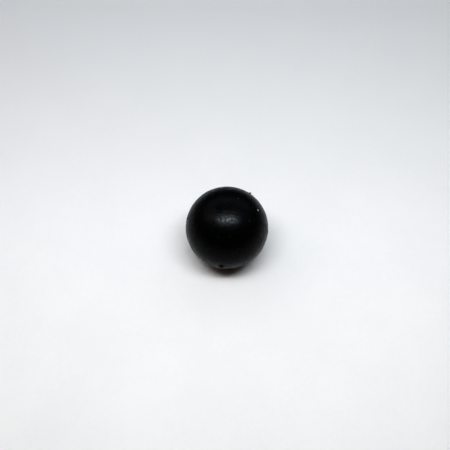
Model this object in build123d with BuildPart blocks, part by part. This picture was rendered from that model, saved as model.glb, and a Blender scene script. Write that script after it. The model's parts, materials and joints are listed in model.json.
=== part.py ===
"""Case opening friction ball: a hollow, inflatable rubber ball for turning the screwed backs of watch cases.

Two moulded half shells are cemented edge to edge. The cement stands a little proud as a trimmed parting line
outside and as a rounded bead inside. A self-sealing valve, a soft plug in a housing bonded to the inner wall,
takes the inflation needle at one pole. The ball lies as it was set down: the valve faces forward, a little to
the left and low, so the parting line leans back over the top of the ball.

Millimetres. The origin is the centre of the ball and +Z is up.
"""

import os
from math import asin, cos, radians, sin, sqrt

from build123d import *

# Ball
BALL_DIAMETER = 65.0
WALL = 4.5
VALVE_DIP = 14.0  # degrees that the valve points below the horizontal
VALVE_YAW = 8.0  # degrees that the valve points to the left of straight forward, which is -Y

# Joint of the two half shells
CEMENT_FILM = 0.3  # thickness between the two edges
PARTING_RIDGE_WIDTH = 0.8
PARTING_RIDGE_HEIGHT = 0.25
INNER_BEAD_WIDTH = 2.4
INNER_BEAD_HEIGHT = 0.7

# Valve plug
STEM_DIAMETER = 5.0
PLUG_RECESS = 0.25  # its outer face lies this far under the top of the ball
BULB_DIAMETER = 8.4
BULB_LENGTH = 4.2
BULB_EDGE_RADIUS = 1.0
TAIL_DIAMETER = 6.0
TAIL_LENGTH = 1.6
NEEDLE_HOLE_DIAMETER = 2.0
NEEDLE_HOLE_DEPTH = 7.5  # to the end of its straight wall
COUNTERSINK_DIAMETER = 2.8

# Valve hole and housing
VALVE_HOLE_CHAMFER = 0.3
FLANGE_DIAMETER = 20.0
FLANGE_THICKNESS = 1.3
FLANGE_EDGE_CHAMFER = 0.5
BARREL_DIAMETER = 12.4
BARREL_FILLET = 1.6
SHOULDER_DEPTH = 3.0  # inner wall of the shell to the top of the bulb

# Stubs of rubber where air escaped from the mould: width, height, degrees from the plain pole and round it
VENT_STUBS = (
    (1.7, 0.95, 35.5, 39.0),
    (1.8, 0.42, 73.6, 43.2),
)
STUB_ROUNDING = 0.8  # rounding of a stub's top, as a share of its height

# Worked out from the above
RADIUS = BALL_DIAMETER / 2
INNER_RADIUS = RADIUS - WALL
FILM_HALF = CEMENT_FILM / 2
RIDGE_HALF = PARTING_RIDGE_WIDTH / 2
BEAD_HALF = INNER_BEAD_WIDTH / 2
STEM_RADIUS = STEM_DIAMETER / 2
BULB_RADIUS = BULB_DIAMETER / 2
TAIL_RADIUS = TAIL_DIAMETER / 2
NEEDLE_RADIUS = NEEDLE_HOLE_DIAMETER / 2
SINK_RADIUS = COUNTERSINK_DIAMETER / 2
HOLE_RIM = STEM_RADIUS + VALVE_HOLE_CHAMFER
FLANGE_RADIUS = FLANGE_DIAMETER / 2
FLANGE_INSIDE = INNER_RADIUS - FLANGE_THICKNESS
BARREL_RADIUS = BARREL_DIAMETER / 2
PLUG_FACE = RADIUS - PLUG_RECESS
BULB_TOP = INNER_RADIUS - SHOULDER_DEPTH
BULB_BOTTOM = BULB_TOP - BULB_LENGTH
TAIL_BOTTOM = BULB_BOTTOM - TAIL_LENGTH

# The ball's own axis runs out through the valve. Sections are drawn with x away from the axis and y along it.
valve_direction = Vector(
    -sin(radians(VALVE_YAW)) * cos(radians(VALVE_DIP)),
    -cos(radians(VALVE_YAW)) * cos(radians(VALVE_DIP)),
    -sin(radians(VALVE_DIP)),
)
ball_axis = Axis((0, 0, 0), valve_direction)
pole_plane = Plane(origin=(0, 0, 0), x_dir=(1, 0, 0), z_dir=valve_direction)
section_plane = Plane(origin=(0, 0, 0), x_dir=pole_plane.x_dir, z_dir=-pole_plane.y_dir)


def height_at(radius, distance):
    """How high a sphere about the ball's centre is at this distance from the axis."""
    return sqrt(radius**2 - distance**2)


def on_sphere(radius, height):
    """The section point at this height on a sphere about the ball's centre."""
    return (sqrt(radius**2 - height**2), height)


def meridian(radius, start_height, end_height):
    """Draws the arc of a sphere about the ball's centre between two heights."""
    middle = radius * sin((asin(start_height / radius) + asin(end_height / radius)) / 2)
    ThreePointArc(on_sphere(radius, start_height), on_sphere(radius, middle), on_sphere(radius, end_height))


def stub_direction(from_pole, around):
    """The way out of the ball at a place on the plain half, measured from that half's pole."""
    tilt, turn = radians(from_pole), radians(around)
    return pole_plane.from_local_coords(Vector(sin(tilt) * cos(turn), sin(tilt) * sin(turn), -cos(tilt)))


def finish_piece(builder, name):
    """Labels a finished piece and writes it to its own file."""
    builder.part.label = name
    export_step(builder.part, f"parts/{name}.step")


os.makedirs("parts", exist_ok=True)

# Half shell without the valve, with the stubs of its mould's air vents
with BuildPart() as plain_half_shell:
    with BuildSketch(section_plane):
        with BuildLine():
            meridian(RADIUS, -RADIUS, -FILM_HALF)
            Line(on_sphere(RADIUS, -FILM_HALF), on_sphere(INNER_RADIUS, -FILM_HALF))
            meridian(INNER_RADIUS, -FILM_HALF, -INNER_RADIUS)
            Line((0, -INNER_RADIUS), (0, -RADIUS))
        make_face()
    revolve(axis=ball_axis)
    for width, height, from_pole, around in VENT_STUBS:
        outward = stub_direction(from_pole, around)
        with BuildSketch(Plane(origin=outward * (RADIUS - height), z_dir=outward)):
            Circle(width / 2)
        extrude(amount=2 * height)
        stub_top = faces(Select.LAST).filter_by(GeomType.PLANE)
        fillet(stub_top.edges(), radius=STUB_ROUNDING * height)
finish_piece(plain_half_shell, "plain_half_shell")

# Half shell with the valve hole through its pole
with BuildPart() as valve_half_shell:
    with BuildSketch(section_plane):
        with BuildLine():
            rim_height = height_at(RADIUS, HOLE_RIM)
            wall_height = height_at(INNER_RADIUS, STEM_RADIUS)
            meridian(RADIUS, FILM_HALF, rim_height)
            Polyline(
                (HOLE_RIM, rim_height),
                (STEM_RADIUS, rim_height - VALVE_HOLE_CHAMFER),
                (STEM_RADIUS, wall_height),
            )
            meridian(INNER_RADIUS, wall_height, FILM_HALF)
            Line(on_sphere(INNER_RADIUS, FILM_HALF), on_sphere(RADIUS, FILM_HALF))
        make_face()
    revolve(axis=ball_axis)
finish_piece(valve_half_shell, "valve_half_shell")

# Cured cement between the two edges, proud outside as the parting line and inside as a bead
with BuildPart() as seam_cement_ring:
    with BuildSketch(section_plane):
        with BuildLine():
            ridge_top = (RADIUS + PARTING_RIDGE_HEIGHT, 0)
            bead_top = (INNER_RADIUS - INNER_BEAD_HEIGHT, 0)
            ThreePointArc(on_sphere(RADIUS, -RIDGE_HALF), ridge_top, on_sphere(RADIUS, RIDGE_HALF))
            ThreePointArc(on_sphere(INNER_RADIUS, -BEAD_HALF), bead_top, on_sphere(INNER_RADIUS, BEAD_HALF))
            for side in (1, -1):
                meridian(RADIUS, side * RIDGE_HALF, side * FILM_HALF)
                Line(on_sphere(RADIUS, side * FILM_HALF), on_sphere(INNER_RADIUS, side * FILM_HALF))
                meridian(INNER_RADIUS, side * FILM_HALF, side * BEAD_HALF)
        make_face()
    revolve(axis=ball_axis)
finish_piece(seam_cement_ring, "seam_cement_ring")

# Soft housing bonded to the inner wall: a curved flange, and a barrel with a pocket for the plug's bulb
with BuildPart() as valve_housing:
    with BuildSketch(section_plane):
        bonded_top = height_at(INNER_RADIUS, STEM_RADIUS)
        bonded_edge = height_at(INNER_RADIUS, FLANGE_RADIUS)
        inside_edge = FLANGE_RADIUS - FLANGE_EDGE_CHAMFER
        barrel_root = (BARREL_RADIUS, height_at(FLANGE_INSIDE, BARREL_RADIUS))
        with BuildLine():
            meridian(INNER_RADIUS, bonded_top, bonded_edge)
            Line((FLANGE_RADIUS, bonded_edge), (inside_edge, height_at(FLANGE_INSIDE, inside_edge)))
            meridian(FLANGE_INSIDE, height_at(FLANGE_INSIDE, inside_edge), barrel_root[1])
            Polyline(
                barrel_root,
                (BARREL_RADIUS, TAIL_BOTTOM),
                (TAIL_RADIUS, TAIL_BOTTOM),
                (TAIL_RADIUS, BULB_BOTTOM),
            )
            FilletPolyline(
                (TAIL_RADIUS, BULB_BOTTOM),
                (BULB_RADIUS, BULB_BOTTOM),
                (BULB_RADIUS, BULB_TOP),
                (STEM_RADIUS, BULB_TOP),
                radius=BULB_EDGE_RADIUS,
            )
            Line((STEM_RADIUS, BULB_TOP), (STEM_RADIUS, bonded_top))
        make_face()
        fillet(vertices().sort_by_distance(barrel_root)[0], radius=BARREL_FILLET)
    revolve(axis=ball_axis)
finish_piece(valve_housing, "valve_housing")

# Self-sealing plug: stem, bulb and tail, with a blind guide hole for the inflation needle
with BuildPart() as valve_plug:
    with BuildSketch(section_plane):
        with BuildLine():
            Polyline(
                (TAIL_RADIUS, BULB_BOTTOM),
                (TAIL_RADIUS, TAIL_BOTTOM),
                (0, TAIL_BOTTOM),
                (0, PLUG_FACE - NEEDLE_HOLE_DEPTH - NEEDLE_RADIUS),
                (NEEDLE_RADIUS, PLUG_FACE - NEEDLE_HOLE_DEPTH),
                (NEEDLE_RADIUS, PLUG_FACE - (SINK_RADIUS - NEEDLE_RADIUS)),
                (SINK_RADIUS, PLUG_FACE),
                (STEM_RADIUS, PLUG_FACE),
                (STEM_RADIUS, BULB_TOP),
            )
            FilletPolyline(
                (STEM_RADIUS, BULB_TOP),
                (BULB_RADIUS, BULB_TOP),
                (BULB_RADIUS, BULB_BOTTOM),
                (TAIL_RADIUS, BULB_BOTTOM),
                radius=BULB_EDGE_RADIUS,
            )
        make_face()
    revolve(axis=ball_axis)
finish_piece(valve_plug, "valve_plug")
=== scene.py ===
"""The looks of a case opening friction ball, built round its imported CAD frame.

Metres, +Z up, with the origin at the ball's centre. The ball's own axis runs out through its needle valve.
Its surfaces are drawn as rings of vertices round that axis, each with a distance from the axis and a height
along it. The valve half has heights above 0, and the plain half has heights below 0.
"""

import json
from math import acos, asin, cos, pi, radians, sin, tan

import bmesh
import bpy
import numpy as np
from mathutils import Matrix, Vector, noise


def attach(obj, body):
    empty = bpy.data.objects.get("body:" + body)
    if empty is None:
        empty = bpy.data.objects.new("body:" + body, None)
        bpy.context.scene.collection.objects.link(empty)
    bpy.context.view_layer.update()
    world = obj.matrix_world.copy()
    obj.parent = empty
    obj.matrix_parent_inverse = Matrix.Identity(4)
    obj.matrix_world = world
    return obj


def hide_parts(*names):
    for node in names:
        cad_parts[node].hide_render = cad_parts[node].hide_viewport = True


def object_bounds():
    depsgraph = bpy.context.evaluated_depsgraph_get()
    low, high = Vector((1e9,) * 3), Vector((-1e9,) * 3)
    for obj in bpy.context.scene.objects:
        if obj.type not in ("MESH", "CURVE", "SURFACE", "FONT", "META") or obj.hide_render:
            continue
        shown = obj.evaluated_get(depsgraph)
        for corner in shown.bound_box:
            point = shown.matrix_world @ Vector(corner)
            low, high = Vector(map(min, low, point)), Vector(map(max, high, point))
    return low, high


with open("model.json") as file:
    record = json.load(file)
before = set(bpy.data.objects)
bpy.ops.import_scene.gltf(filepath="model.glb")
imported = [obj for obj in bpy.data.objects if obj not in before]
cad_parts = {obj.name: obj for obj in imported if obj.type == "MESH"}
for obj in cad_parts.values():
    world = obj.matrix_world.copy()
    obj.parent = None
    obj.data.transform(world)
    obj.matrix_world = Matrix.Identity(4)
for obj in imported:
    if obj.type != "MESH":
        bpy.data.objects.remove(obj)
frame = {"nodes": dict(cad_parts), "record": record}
cad_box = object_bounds()

MM = 0.001


def mount(name):
    """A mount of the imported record, by its name."""
    return next(m for m in frame["record"]["mounts"] if m["name"] == name)


# ---------------------------------------------------------------- the ball's sizes

needle_bore = mount("needle_bore")

RADIUS = Vector(mount("hand_grip")["pos_m"]).length
POLE = Vector(needle_bore["axis"]).normalized()
NEEDLE_RADIUS = needle_bore["dims"]["r_mm"] * MM
NEEDLE_END = Vector(needle_bore["pos_m"]).length - needle_bore["dims"]["length_mm"] * MM / 2

WALL = 4.5 * MM
INNER_RADIUS = RADIUS - WALL
FILM_HALF = 0.15 * MM  # half of the cement between the two half shells' edges

HOLE_RIM = 2.8 * MM
STEM_RADIUS = 2.5 * MM
PLUG_FACE = RADIUS - 0.25 * MM
BULB_RADIUS = 4.2 * MM
BULB_TOP = INNER_RADIUS - 3.0 * MM
BULB_BOTTOM = BULB_TOP - 4.2 * MM
BULB_EDGE = 1.0 * MM
TAIL_RADIUS = 3.0 * MM
TAIL_BOTTOM = BULB_BOTTOM - 1.6 * MM

# Axes of the ball: two across the valve axis, then the valve axis itself
ACROSS = (Vector((1, 0, 0)) - POLE.x * POLE).normalized()
BALL_AXES = np.array([ACROSS, POLE.cross(ACROSS), POLE])


# ---------------------------------------------------------------- mesh tools

GRADING_SAMPLES = 20001
NOISE_FADE, NOISE_FINER = 1.0, 2.0  # how each octave of the noise fades, and how much finer it is


def graded(start, stop, step, places):
    """Values from start to stop, about step apart, and closer near each (place, half width, finer step)."""
    samples = np.linspace(start, stop, GRADING_SAMPLES)
    density = np.full(samples.size, 1 / step)
    for place, half_width, finer in places:
        near = np.exp(-(((samples - place) / half_width) ** 4))
        density += near * (1 / finer - 1 / step)
    passed = np.concatenate([[0], np.cumsum((density[1:] + density[:-1]) / 2 * np.diff(samples))])
    count = int(round(passed[-1]))
    return np.interp(np.linspace(0, passed[-1], count + 1), passed, samples)


def rings_of(distances, heights, turns):
    """Points of rings round the valve axis, in the ball's axes: an array of rings by turns by three. A ring's
    distance and its height are one number for the whole ring, or one for each turn."""
    distances = np.reshape(distances, (len(distances), -1))
    heights = np.reshape(heights, (len(heights), -1))
    places = np.broadcast_arrays(distances * np.cos(turns), distances * np.sin(turns), heights)
    return np.stack(places, axis=-1)


def fractal(points, height, size, octaves, seed):
    """Smooth noise about 0 at each point, with its largest lumps about this high and this size across."""
    flat = (points.reshape(-1, 3) / size + seed).tolist()
    basis = "PERLIN_ORIGINAL"
    values = [noise.fractal(p, NOISE_FADE, NOISE_FINER, octaves, noise_basis=basis) for p in flat]
    return height * np.array(values).reshape(points.shape[:-1])


def smooth_step(low, high, x):
    """0 below the low value, 1 above the high one, and a smooth rise between them."""
    t = np.clip((x - low) / (high - low), 0, 1)
    return t * t * (3 - 2 * t)


def lift(points, heights):
    """Moves points straight away from the ball's centre by these heights."""
    length = np.linalg.norm(points, axis=-1, keepdims=True)
    return points * (1 + heights[..., None] / length)


def face_outward(mesh):
    """Turns every face of a closed mesh outward."""
    work = bmesh.new()
    work.from_mesh(mesh)
    bmesh.ops.recalc_face_normals(work, faces=work.faces)
    work.to_mesh(mesh)
    work.free()


def make_turned_piece(name, points, closed, sharp=40):
    """A closed mesh from rings of points. A closed piece joins its last ring to its first, and any other is
    capped by a point on the axis at each end. Edges sharper than this many degrees stay crisp."""
    ring_count, turn_count = points.shape[:2]
    grid = np.arange(ring_count * turn_count).reshape(ring_count, turn_count)
    rows = np.concatenate([grid, grid[:1]]) if closed else grid
    a, b = rows[:-1], rows[1:]
    faces = np.stack([a, b, np.roll(b, -1, 1), np.roll(a, -1, 1)], axis=-1).reshape(-1, 4).tolist()
    vertices = points.reshape(-1, 3)
    if not closed:
        for ring, order in ((0, 1), (-1, -1)):
            tip = len(vertices)
            vertices = np.concatenate([vertices, [points[ring].mean(0)]])
            edges = zip(grid[ring].tolist(), np.roll(grid[ring], -1).tolist())
            faces += [[tip, *edge[::order]] for edge in edges]
    mesh = bpy.data.meshes.new(name)
    mesh.from_pydata((vertices @ BALL_AXES).tolist(), [], faces)
    mesh.update()
    face_outward(mesh)
    mesh.shade_smooth()
    mesh.set_sharp_from_angle(angle=radians(sharp))
    piece = bpy.data.objects.new(name, mesh)
    bpy.context.scene.collection.objects.link(piece)
    return piece


def paint(piece, name, values):
    """Stores a number from 0 to 1 at each of the first vertices, for the material to read. The rest get 0."""
    flat = np.zeros(len(piece.data.vertices), np.float32)
    flat[: values.size] = values.reshape(-1)
    piece.data.attributes.new(name, "FLOAT", "POINT").data.foreach_set("value", flat)


# ---------------------------------------------------------------- relief of the rubber

# Waves and fine orange peel that a soft moulding has: height, size across, octaves, seed
MOULDED_RELIEF = (
    (0.02 * MM, 14 * MM, 2, 3.1),
    (0.008 * MM, 2.6 * MM, 3, 7.7),
)

# The shells' edges beside the seam: a rolled corner and a wider, shallower sink, with their depths and widths
EDGE_ROLL_DEPTH, EDGE_ROLL_WIDTH = 0.03 * MM, 0.5 * MM
EDGE_SINK_DEPTH, EDGE_SINK_WIDTH = 0.012 * MM, 3 * MM

# Places along the seam, in degrees round the valve axis: a nick in the trimmed cement, and a proud bit of it
NICK_PLACE, NICK_LENGTH, NICK_DEPTH, NICK_WIDTH = 163.5, 1.9 * MM, 1.3 * MM, 0.85 * MM
PROUD_PLACE, PROUD_LENGTH, PROUD_HEIGHT = 4.5, 1.6 * MM, 0.3 * MM

# Stubs of the air vents: half width, height, degrees from the plain pole and round it, how pale the tear is.
# The paleness is partly the torn rubber's own grey and partly a painted highlight on the stub's top.
VENT_STUBS = (
    (0.9 * MM, 0.95 * MM, 35.5, 39.0, 0.04),
    (0.95 * MM, 0.42 * MM, 73.6, 43.2, 0.75),
)
STUB_FLANK = 0.62  # share of its half width at which a stub's top starts to fall away
STUB_TEAR = (1.0, 0.7 * MM, 3, 11.0)  # noise of a stub's torn face: height, size across, octaves, seed
TEAR_OUTLINE, TEAR_TOP = 0.35, 0.5  # how much the tear roughens the stub's outline and its top

# The rubber sinks in a collar round a stub: depth, then radius and squared width in half widths of the stub
COLLAR_DEPTH, COLLAR_RADIUS, COLLAR_SPREAD = 0.12 * MM, 1.1, 0.08

# Grains of dust that stick to the rubber: degrees from the plain pole and round it
DUST_GRAINS = ((65.3, 76.2), (94.8, 56.9), (125.1, 99.3), (122.3, 80.2))


def moulded_relief(points):
    """How high the waves and the orange peel of the moulding stand at each point."""
    return sum(fractal(points, *lumps) for lumps in MOULDED_RELIEF)


def near_place(turns, place, length):
    """1 at a place along the seam, and down to a third or so this far on either side."""
    away = (turns - radians(place) + pi) % (2 * pi) - pi
    return np.exp(-((RADIUS * away / length) ** 2))


def rolled_edge(points):
    """How far the shells' edges turn down towards the cement, and into its nick."""
    from_seam = np.abs(points[..., 2]) - FILM_HALF
    roll = EDGE_ROLL_DEPTH * (1 - smooth_step(0, EDGE_ROLL_WIDTH, from_seam)) ** 2
    sink = EDGE_SINK_DEPTH * (1 - smooth_step(0, EDGE_SINK_WIDTH, from_seam))
    turns = np.arctan2(points[..., 1], points[..., 0])
    nick = NICK_DEPTH * near_place(turns, NICK_PLACE, NICK_LENGTH)
    nick_here = nick * np.exp(-((from_seam / NICK_WIDTH) ** 2))
    return -roll - nick_here - sink


def ball_place(from_pole, turn):
    """The place on the ball at these degrees from the plain pole and round it, in the ball's axes."""
    tilt, turn = radians(from_pole), radians(turn)
    return RADIUS * np.array([sin(tilt) * cos(turn), sin(tilt) * sin(turn), -cos(tilt)])


def stub_relief(points):
    """How high the torn stubs of the air vents stand at each point, and how pale their torn faces are
    painted: partly the torn rubber's own grey, partly a painted highlight on their tops.
    """
    height, torn_and_highlight = np.zeros(points.shape[:2]), np.zeros(points.shape[:2])
    for half_width, stands, from_pole, turn, pale in VENT_STUBS:
        away = np.linalg.norm(points - ball_place(from_pole, turn), axis=-1)
        near = away < 2 * half_width
        ragged = np.zeros_like(away)
        ragged[near] = fractal(points[near], *STUB_TEAR)
        top = 1 - smooth_step(STUB_FLANK, 1.0, away / half_width * (1 + TEAR_OUTLINE * ragged))
        collar = np.exp(-((away / half_width - COLLAR_RADIUS) ** 2) / COLLAR_SPREAD)
        height += stands * top * (1 + TEAR_TOP * ragged) - COLLAR_DEPTH * collar * near
        # Painted highlight: the stub's top is painted paler where it catches the light, over the torn
        # rubber's own grey.
        torn_and_highlight = np.maximum(torn_and_highlight, pale * top * near)
    return height, torn_and_highlight


# ---------------------------------------------------------------- the half shells

TURN_COUNT = 450
TURN_STEP = 2 * pi / TURN_COUNT
RING_STEP = 0.5 * MM
INNER_RING_COUNT = 22
POLE_RING = 0.4 * MM  # distance from the pole to the first ring round it

# Finer rings and turns: half width of the stretch, then the finer step
SEAM_GRADING = (1.2 * MM, 0.07 * MM)
HOLE_GRADING = (1.2 * MM, 0.09 * MM)
STUB_RING_STEP = 0.12 * MM
STUB_TURNS = (radians(41), radians(6), radians(0.3))  # the middle of both stubs comes first

SEAM_ARC = RADIUS * acos(FILM_HALF / RADIUS)  # from a pole to the edge of its half shell, along the outside
INNER_SEAM_ANGLE = acos(FILM_HALF / INNER_RADIUS)

# The rounded mouth of the valve hole, from its wall up: distance from the axis, depth below the rim
HOLE_MOUTH = (
    (STEM_RADIUS, 0.5 * MM),
    (2.53 * MM, 0.28 * MM),
    (2.62 * MM, 0.14 * MM),
    (2.72 * MM, 0.04 * MM),
)
LIP_HEIGHT, LIP_WIDTH = 0.05 * MM, 0.7 * MM  # the rubber swells a little round the hole

PLAIN_OVERSIZE = 0.05 * MM  # the plain half came out of its mould this much larger than the valve half


def inner_wall(stop_angle, side, turns):
    """Rings down the inside of a half shell, from the seam to this angle from its pole."""
    angles = np.linspace(INNER_SEAM_ANGLE, stop_angle, INNER_RING_COUNT)
    return rings_of(INNER_RADIUS * np.sin(angles), side * INNER_RADIUS * np.cos(angles), turns)


def make_valve_half_shell():
    """The front half, with the valve hole through its pole."""
    turns = np.arange(TURN_COUNT) * TURN_STEP
    rim_angle = asin(HOLE_RIM / RADIUS)
    rim_arc = rim_angle * RADIUS
    arc = graded(rim_arc, SEAM_ARC, RING_STEP, [(rim_arc, *HOLE_GRADING), (SEAM_ARC, *SEAM_GRADING)])
    outer = rings_of(RADIUS * np.sin(arc / RADIUS), RADIUS * np.cos(arc / RADIUS), turns)
    lip = LIP_HEIGHT * np.exp(-(((arc - HOLE_RIM) / LIP_WIDTH) ** 2))
    outer = lift(outer, moulded_relief(outer) + rolled_edge(outer) + lip[:, None])

    inner = inner_wall(asin(STEM_RADIUS / INNER_RADIUS), 1, turns)

    rim_height = RADIUS * cos(rim_angle)
    mouth = [(distance, rim_height - depth) for distance, depth in HOLE_MOUTH]
    hole = rings_of(*zip(*mouth), turns)
    return make_turned_piece("valve_half_shell_skin", np.concatenate([outer, inner, hole]), closed=True)


def make_plain_half_shell():
    """The back half, with the stubs of its air vents."""
    turns = graded(0, 2 * pi, TURN_STEP, [STUB_TURNS])[:-1]
    places = [(SEAM_ARC, *SEAM_GRADING)]
    places += [(radians(stub[2]) * RADIUS, 2 * stub[0], STUB_RING_STEP) for stub in VENT_STUBS]
    arc = graded(POLE_RING, SEAM_ARC, RING_STEP, places)
    outer = rings_of(RADIUS * np.sin(arc / RADIUS), -RADIUS * np.cos(arc / RADIUS), turns)
    stubs, torn_and_highlight = stub_relief(outer)
    outer = lift(outer, moulded_relief(outer) + rolled_edge(outer) + PLAIN_OVERSIZE + stubs)
    inner = inner_wall(POLE_RING / INNER_RADIUS, -1, turns)
    piece = make_turned_piece("plain_half_shell_skin", np.concatenate([outer, inner]), closed=False)
    # The stubs' paleness, partly a painted highlight, is stored for the material.
    paint(piece, "torn_and_highlight", torn_and_highlight)
    return piece


# ---------------------------------------------------------------- the seam's cement

SEAM_TURN_COUNT = 1500
RIDGE_POINTS, BEAD_POINTS = 13, 11

RIDGE_HEIGHT, RIDGE_LOWEST, RIDGE_HIGHEST = 0.10 * MM, 0.02 * MM, 0.3 * MM
RIDGE_HALF_WIDTH = 0.27 * MM
RIDGE_ROOT = 0.1 * MM  # the ridge starts this far under the ball's surface
FILM_START = 0.2 * MM  # the film between the edges starts this far under the ball's surface
FILM_SHORT = 0.02 * MM  # and ends this far short of the inner wall, where the bead takes over
BEAD_HALF_WIDTH, BEAD_HEIGHT = 1.2 * MM, 0.7 * MM

# Noise along the seam: height, size across, octaves, seed. The knife that trimmed the ridge strayed sideways,
# and left it uneven. The first two are shares of the ridge's height, and the third is a share of its width.
TRIM_WAVES = (0.9, 9 * MM, 3, 1.0)
TRIM_TEETH = (0.5, 1.1 * MM, 3, 5.0)
WIDTH_WAVES = (0.5, 5 * MM, 3, 2.0)
KNIFE_DRIFT = (0.06 * MM, 3 * MM, 3, 9.0)


def make_seam_cement_ring():
    """The cement between the halves, with its trimmed ridge outside and its bead inside."""
    turns = np.linspace(0, 2 * pi, SEAM_TURN_COUNT, endpoint=False)
    same = np.ones(SEAM_TURN_COUNT)
    circle = rings_of([RADIUS], [0], turns)[0]
    nick = NICK_DEPTH * near_place(turns, NICK_PLACE, NICK_LENGTH)

    tall = RIDGE_HEIGHT * (1 + fractal(circle, *TRIM_WAVES) + fractal(circle, *TRIM_TEETH))
    tall = np.clip(tall, RIDGE_LOWEST, RIDGE_HIGHEST)
    tall += PROUD_HEIGHT * near_place(turns, PROUD_PLACE, PROUD_LENGTH)
    half_width = RIDGE_HALF_WIDTH * (1 + fractal(circle, *WIDTH_WAVES))
    across = np.linspace(-1, 1, RIDGE_POINTS)[:, None]
    ridge_heights = half_width * across + fractal(circle, *KNIFE_DRIFT)
    ridge_distances = RADIUS - RIDGE_ROOT - nick + (tall + RIDGE_ROOT) * (1 - np.abs(across) ** 3)

    bend = np.linspace(0, pi, BEAD_POINTS)[:, None]
    bead_heights = BEAD_HALF_WIDTH * np.cos(bend) * same
    bead_distances = (INNER_RADIUS - BEAD_HEIGHT * np.sin(bend)) * same

    film_top = RADIUS - FILM_START - nick
    film_low = (INNER_RADIUS + FILM_SHORT) * same
    edge = FILM_HALF * same
    distances = np.concatenate([ridge_distances, [film_top, film_low], bead_distances, [film_low, film_top]])
    heights = np.concatenate([ridge_heights, [edge, edge], bead_heights, [-edge, -edge]])
    points = rings_of(distances, heights, turns)
    return make_turned_piece("seam_cement_ring_skin", points, closed=True, sharp=60)


# ---------------------------------------------------------------- the valve's plug

PLUG_TURN_COUNT = 160
BEND_STEPS = 6  # in each rounded edge
AXIS_RING = 0.12 * MM  # the smallest ring, at the end of the needle hole
TAIL_RING = 0.3 * MM  # and the smallest on the tail's flat end
NEEDLE_CONE = 0.6 * MM  # depth of the cone that ends the needle hole

# The plug's face has a lip that curves into the needle hole, a low crown, and a rounded outer edge. A place
# on it is a distance from the axis and a height above the face's own level.
GUIDE_TOP = -0.9 * MM
SINK_RADIUS, SINK_DEPTH = 1.5 * MM, 0.6 * MM
CROWN = ((1.7 * MM, 0.05 * MM), (1.9 * MM, 0.04 * MM))
EDGE_START, EDGE_REACH, EDGE_DROP = 2.0 * MM, 0.44 * MM, 0.4 * MM
STEM_SIDE = ((2.47 * MM, -0.7 * MM), (STEM_RADIUS, -1.4 * MM))


def make_valve_plug():
    """The soft plug in the valve hole: rounded face, needle hole, stem, bulb and tail."""
    turns = np.linspace(0, 2 * pi, PLUG_TURN_COUNT, endpoint=False)
    bend = np.linspace(0, pi / 2, BEND_STEPS + 1)[1:]
    sink = [(SINK_RADIUS - (SINK_RADIUS - NEEDLE_RADIUS) * cos(t), SINK_DEPTH * (sin(t) - 1)) for t in bend]
    rounding = [(EDGE_START + EDGE_REACH * sin(t), EDGE_DROP * (cos(t) - 1)) for t in bend]
    face = [(NEEDLE_RADIUS, GUIDE_TOP), *sink, *CROWN, *rounding, *STEM_SIDE]

    bulb_side = BULB_RADIUS - BULB_EDGE
    rows = [(AXIS_RING, NEEDLE_END - NEEDLE_CONE), (NEEDLE_RADIUS, NEEDLE_END)]
    rows += [(distance, PLUG_FACE + height) for distance, height in face]
    rows += [(STEM_RADIUS, BULB_TOP)]
    rows += [(bulb_side + BULB_EDGE * sin(t), BULB_TOP - BULB_EDGE * (1 - cos(t))) for t in bend]
    rows += [(bulb_side + BULB_EDGE * cos(t), BULB_BOTTOM + BULB_EDGE * (1 - sin(t))) for t in bend]
    rows += [(TAIL_RADIUS, BULB_BOTTOM), (TAIL_RADIUS, TAIL_BOTTOM), (TAIL_RING, TAIL_BOTTOM)]
    return make_turned_piece("valve_plug_skin", rings_of(*zip(*rows), turns), closed=False, sharp=50)


# ---------------------------------------------------------------- materials


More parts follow.
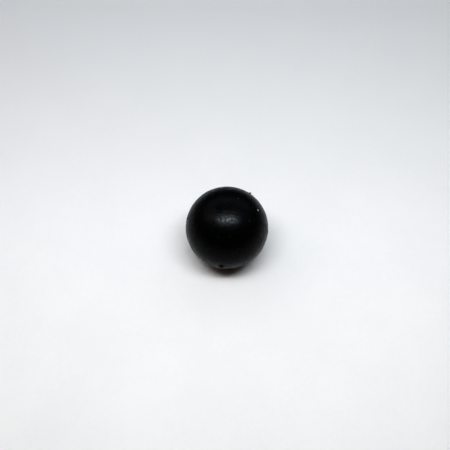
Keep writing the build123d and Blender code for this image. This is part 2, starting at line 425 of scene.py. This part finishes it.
class Graph:
    """A small helper that adds nodes to a material and links them as it goes."""

    def __init__(self, name):
        self.material = bpy.data.materials.new(name)
        self.material.use_nodes = True
        self.nodes = self.material.node_tree.nodes
        self.links = self.material.node_tree.links
        self.shader = next(n for n in self.nodes if n.type == "BSDF_PRINCIPLED")
        self.place = self.add("ShaderNodeTexCoord").outputs["Object"]

    def connect(self, socket, value):
        """Links a socket to another one, or sets it to a value."""
        if isinstance(value, bpy.types.NodeSocket):
            self.links.new(value, socket)
        else:
            socket.default_value = value

    def add(self, kind, **inputs):
        """A new node, with these inputs by name."""
        node = self.nodes.new(kind)
        for key, value in inputs.items():
            self.connect(node.inputs[key], value)
        return node

    def noise(self, size, detail=3.0, rough=0.55):
        """Noise from 0 to 1 with lumps about this size across."""
        node = self.add("ShaderNodeTexNoise", Vector=self.place, Scale=1 / size)
        self.connect(node.inputs["Detail"], detail)
        self.connect(node.inputs["Roughness"], rough)
        return node.outputs["Fac"]

    def spots(self, size, share):
        """1 inside small round spots scattered about this far apart, 0 between them."""
        node = self.add("ShaderNodeTexVoronoi", Vector=self.place, Scale=1 / size)
        return self.span(node.outputs["Distance"], share, 0.6 * share, 0.0, 1.0)

    def spot(self, centre, radius):
        """1 at a place on the piece, falling to 0 this far from it."""
        node = self.add("ShaderNodeVectorMath")
        node.operation = "DISTANCE"
        self.connect(node.inputs[0], self.place)
        self.connect(node.inputs[1], centre)
        return self.span(node.outputs["Value"], 0.4 * radius, radius, 1.0, 0.0)

    def span(self, value, low, high, out_low, out_high):
        """Maps a value's range to another, and holds it there."""
        node = self.add("ShaderNodeMapRange", Value=value)
        for key, number in (("From Min", low), ("From Max", high), ("To Min", out_low), ("To Max", out_high)):
            node.inputs[key].default_value = number
        return node.outputs["Result"]

    def math(self, operation, a, b):
        """The result of a math operation on two numbers or sockets."""
        node = self.add("ShaderNodeMath")
        node.operation = operation
        self.connect(node.inputs[0], a)
        self.connect(node.inputs[1], b)
        return node.outputs[0]

    def mix(self, share, a, b):
        """The colour between a and b at this share of b."""
        node = self.add("ShaderNodeMix")
        node.data_type = "RGBA"
        factor, first, second = node.inputs[0], node.inputs[6], node.inputs[7]
        for socket, value in ((factor, share), (first, a), (second, b)):
            self.connect(socket, value)
        return node.outputs[2]

    def bump(self, height, distance):
        """A node that bumps the surface up to this far."""
        return self.add("ShaderNodeBump", Height=height, Distance=distance)

    def attribute(self, name):
        """A number painted on the piece's vertices."""
        node = self.add("ShaderNodeAttribute")
        node.attribute_name = name
        return node.outputs["Fac"]


RUBBER_IOR = 1.35

# Sizes across of the rubber's markings, and the heights of those that stand proud
DUST_PATCH, DUST_FLECK = 11 * MM, 1.4 * MM
SPECK_APART, SPECK_PATCH = 3.1 * MM, 7 * MM
GLOSS_PATCH, GLOSS_BLOOM, GLOSS_GRAIN = 4.5 * MM, 1.7 * MM, 0.35 * MM
LUMP, LUMP_HEIGHT = 1.7 * MM, 0.065 * MM
PORE, PORE_HEIGHT = 0.22 * MM, 0.006 * MM

DUST_SPECK = (0.09, 0.088, 0.082, 1)
DUST_GRAIN = (0.07, 0.07, 0.07, 1)
DUST_GRAIN_RADIUS = 0.7 * MM
# The stubs' torn faces: partly the torn rubber's own paler grey, partly a painted highlight where their tops
# catch the light.
TORN_FACE_AND_HIGHLIGHT = (0.45, 0.45, 0.44, 1)


def rubber_colour(g, black, dusty, dust, on_shells):
    """Black with dust in patches and specks. The shells also have grains of dust, and torn stubs whose pale
    tops are partly a painted highlight.
    """
    speckled = g.span(g.noise(SPECK_PATCH), 0.5, 0.62, 0.0, 1.0)
    specks = g.math("MULTIPLY", g.spots(SPECK_APART, 0.07), speckled)
    colour = g.mix(dust, (*black, 1), (*dusty, 1))
    colour = g.mix(specks, colour, DUST_SPECK)
    if on_shells:
        for grain in DUST_GRAINS:
            colour = g.mix(g.spot(ball_place(*grain) @ BALL_AXES, DUST_GRAIN_RADIUS), colour, DUST_GRAIN)
        # Painted highlight on the stubs' torn tops, mixed with the torn rubber's own paler grey.
        colour = g.mix(g.attribute("torn_and_highlight"), colour, TORN_FACE_AND_HIGHLIGHT)
    return colour


def rubber_gloss(g, dust, smooth, rough):
    """Roughness between smooth and rough in patches, with small blooms and a fine grain over them."""
    patches = g.math("ADD", g.noise(GLOSS_PATCH, 3), g.math("MULTIPLY", dust, 0.4))
    blooms = g.span(g.noise(GLOSS_BLOOM, 3), 0.38, 0.62, -0.08, 0.08)
    grain = g.span(g.noise(GLOSS_GRAIN, 2), 0.35, 0.65, -0.09, 0.13)
    return g.math("ADD", g.math("ADD", g.span(patches, 0.35, 0.95, smooth, rough), blooms), grain)


def rubber(name, black, dusty, smooth, rough, on_shells=False):
    """Black moulded rubber: mottled gloss, faint dust in patches and specks, and a fine grain."""
    g = Graph(name)
    dust = g.math("MULTIPLY", g.noise(DUST_PATCH, 4), g.noise(DUST_FLECK, 5, 0.65))
    dust = g.span(dust, 0.22, 0.45, 0.0, 1.0)
    g.connect(g.shader.inputs["Base Color"], rubber_colour(g, black, dusty, dust, on_shells))
    g.connect(g.shader.inputs["Roughness"], rubber_gloss(g, dust, smooth, rough))
    g.shader.inputs["IOR"].default_value = RUBBER_IOR
    lumps = g.bump(g.noise(LUMP, 3), LUMP_HEIGHT)
    pores = g.bump(g.noise(PORE, 2), PORE_HEIGHT)
    g.connect(pores.inputs["Normal"], lumps.outputs["Normal"])
    g.connect(g.shader.inputs["Normal"], pores.outputs["Normal"])
    return g.material


def dress(piece, material, slot_name, *nodes):
    """Gives a piece its material, and lets it ride on the root body and stand for its CAD nodes."""
    piece.data.materials.clear()
    piece.data.materials.append(material)
    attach(piece, "root")
    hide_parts(*nodes)


# ---------------------------------------------------------------- floor, light and camera

CAMERA_ELEVATION = radians(54)
CAMERA_DISTANCE = 22 * RADIUS
CAMERA_CLIP = 0.01
LENS = 72.5
AIM_LEFT = 1.5 * MM
AIM_UP = 2.15 * MM

FLOOR_HALF = 3.0
FLOOR_DULL, FLOOR_BRIGHT = (0.886, 0.842, 0.838, 1), (0.911, 0.865, 0.857, 1)
FLOOR_CLOUD, FLOOR_FLECK = 60 * MM, 2.6 * MM  # sizes across of its faint clouds and flecks
FLOOR_FAR_COOL_LIGHT = (0.875, 0.868, 0.898, 1)  # painted cool light on its far side
FAR_START, FAR_END, FAR_SHARE = -0.1, 0.3, 0.6  # behind the ball's centre, and how much of that colour there
FLOOR_ROUGHNESS, FLOOR_SPECULAR = 0.85, 0.2

ROOM_LIGHT = 0.08
ROOM_COLOUR = (1.0, 0.88, 0.72, 1)

STRIP_DISTANCE, STRIP_SPREAD, STRIP_COLOUR = 0.66, 120, (0.90, 0.97, 1.0)
WALL_DISTANCE, WALL_SPREAD = 1.2, 170

# Soft boxes: name, the way to it from the ball, half width and half depth in degrees seen from the ball, its
# distance, how many degrees its grid lets light spread, its brightness and its colour
SOFT_BOXES = (
    ("low_strip", (0.02, -0.345, 0.93), 25, 2.6, STRIP_DISTANCE, STRIP_SPREAD, 4.5, STRIP_COLOUR),
    ("front_strip", (0.02, -0.255, 0.96), 27, 2.7, STRIP_DISTANCE, STRIP_SPREAD, 25.6, STRIP_COLOUR),
    ("rear_strip", (0.02, -0.13, 0.99), 27, 3.8, STRIP_DISTANCE, STRIP_SPREAD, 7.8, STRIP_COLOUR),
    ("left_wall", (-0.70, 0.05, 0.71), 17, 14, WALL_DISTANCE, WALL_SPREAD, 1.4, (1.0, 0.93, 0.92)),
    ("right_wall", (0.70, 0.05, 0.71), 17, 14, WALL_DISTANCE, WALL_SPREAD, 0.7, (0.90, 0.98, 1.0)),
    ("back_wall", (0.0, 0.72, 0.69), 54, 14, WALL_DISTANCE, WALL_SPREAD, 1.0, (0.80, 0.93, 1.0)),
)

FILM_TOE = 0.08  # how far up the film's curve its dark toe reaches
FILM_DARKEST, FILM_LIGHTEST, FILM_POINTS = 0.004, 0.8, 16
COMBINED_CURVE = 3


def point_at(thing, target):
    """Turns a camera or a light towards a target, with its width kept level."""
    back = (thing.location - Vector(target)).normalized()
    across = (Vector((1, 0, 0)) - back.x * back).normalized()
    thing.rotation_euler = Matrix((across, back.cross(across), back)).transposed().to_euler()


def make_camera():
    """A camera in front of the ball that looks down on it."""
    view = Vector((0, -cos(CAMERA_ELEVATION), sin(CAMERA_ELEVATION)))
    view_up = Vector((0, sin(CAMERA_ELEVATION), cos(CAMERA_ELEVATION)))
    aim = Vector((-AIM_LEFT, 0, 0)) + AIM_UP * view_up
    data = bpy.data.cameras.new("camera")
    data.lens = LENS
    data.clip_start = CAMERA_CLIP
    camera = bpy.data.objects.new("camera", data)
    bpy.context.scene.collection.objects.link(camera)
    camera.location = aim + CAMERA_DISTANCE * view
    point_at(camera, aim)
    bpy.context.scene.camera = camera


def make_soft_box(name, towards, half_width, half_depth, distance, spread, brightness, colour):
    """An area light that faces the ball. The brightness is what a camera would see on it."""
    data = bpy.data.lights.new(name, "AREA")
    data.shape = "RECTANGLE"
    data.size = 2 * distance * tan(radians(half_width))
    data.size_y = 2 * distance * tan(radians(half_depth))
    data.spread = radians(spread)
    half_spread = radians(spread) / 2
    # A grid sends the same power out more narrowly, which makes the box look brighter
    grid_gain = tan(half_spread) / (tan(half_spread) - half_spread)
    data.energy = brightness * pi * data.size * data.size_y / grid_gain
    data.color = colour
    light = bpy.data.objects.new(name, data)
    bpy.context.scene.collection.objects.link(light)
    light.location = distance * Vector(towards).normalized()
    point_at(light, (0, 0, 0))


def make_room():
    """A dim, warm room round the soft boxes."""
    world = bpy.data.worlds.new("room")
    world.use_nodes = True
    background = world.node_tree.nodes["Background"]
    background.inputs["Color"].default_value = ROOM_COLOUR
    background.inputs["Strength"].default_value = ROOM_LIGHT
    bpy.context.scene.world = world


def pale_table():
    """Matt pale card, faintly cloudy, with cool light painted on its far side."""
    g = Graph("pale_table")
    clouds = g.math("MULTIPLY", g.noise(FLOOR_CLOUD, 2), 0.6)
    flecks = g.math("MULTIPLY", g.noise(FLOOR_FLECK, 3), 0.4)
    colour = g.mix(g.span(g.math("ADD", clouds, flecks), 0.4, 0.6, 0.0, 1.0), FLOOR_DULL, FLOOR_BRIGHT)
    behind = g.add("ShaderNodeSeparateXYZ", Vector=g.place).outputs["Y"]
    # Painted cool light: the card turns cooler behind the ball.
    colour = g.mix(g.span(behind, FAR_START, FAR_END, 0.0, FAR_SHARE), colour, FLOOR_FAR_COOL_LIGHT)
    g.connect(g.shader.inputs["Base Color"], colour)
    g.shader.inputs["Roughness"].default_value = FLOOR_ROUGHNESS
    g.shader.inputs["Specular IOR Level"].default_value = FLOOR_SPECULAR
    return g.material


def make_floor():
    """The flat table that the ball lies on."""
    lowest = cad_box[0][2]
    corners = [(x * FLOOR_HALF, y * FLOOR_HALF, lowest) for x, y in ((-1, -1), (1, -1), (1, 1), (-1, 1))]
    mesh = bpy.data.meshes.new("floor")
    mesh.from_pydata(corners, [], [(0, 1, 2, 3)])
    floor = bpy.data.objects.new("floor", mesh)
    bpy.context.scene.collection.objects.link(floor)
    floor.data.materials.append(pale_table())


def set_film():
    """Plain display colours, with the dark toe of a film's curve under them."""
    settings = bpy.context.scene.view_settings
    settings.view_transform = "Standard"
    settings.use_curve_mapping = True
    curve = settings.curve_mapping.curves[COMBINED_CURVE]
    for light in np.geomspace(FILM_DARKEST, FILM_LIGHTEST, FILM_POINTS):
        curve.points.new(light, light * (light * (1 + FILM_TOE) / (light + FILM_TOE)) ** 2)
    settings.curve_mapping.update()


# ---------------------------------------------------------------- assembly

# Each rubber's black, its dusty black, and its smoothest and roughest gloss
shell_rubber = rubber("shell_rubber", (0.011, 0.011, 0.012), (0.017, 0.016, 0.0155), 0.31, 0.39, True)
seam_rubber = rubber("seam_cement", (0.016, 0.016, 0.017), (0.035, 0.034, 0.033), 0.45, 0.62)
plug_rubber = rubber("plug_rubber", (0.010, 0.010, 0.011), (0.018, 0.017, 0.016), 0.32, 0.46)
housing_rubber = rubber("housing_rubber", (0.016, 0.015, 0.014), (0.03, 0.028, 0.026), 0.5, 0.65)

dress(make_plain_half_shell(), shell_rubber, "shell_rubber", "plain_half_shell")
dress(make_valve_half_shell(), shell_rubber, "shell_rubber", "valve_half_shell")
dress(make_seam_cement_ring(), seam_rubber, "seam_cement", "seam_cement_ring")
dress(make_valve_plug(), plug_rubber, "plug_rubber", "valve_plug")

housing = frame["nodes"]["valve_housing"]
housing.data.materials.clear()
housing.data.materials.append(housing_rubber)

make_floor()
for soft_box in SOFT_BOXES:
    make_soft_box(*soft_box)
make_room()
make_camera()
set_film()
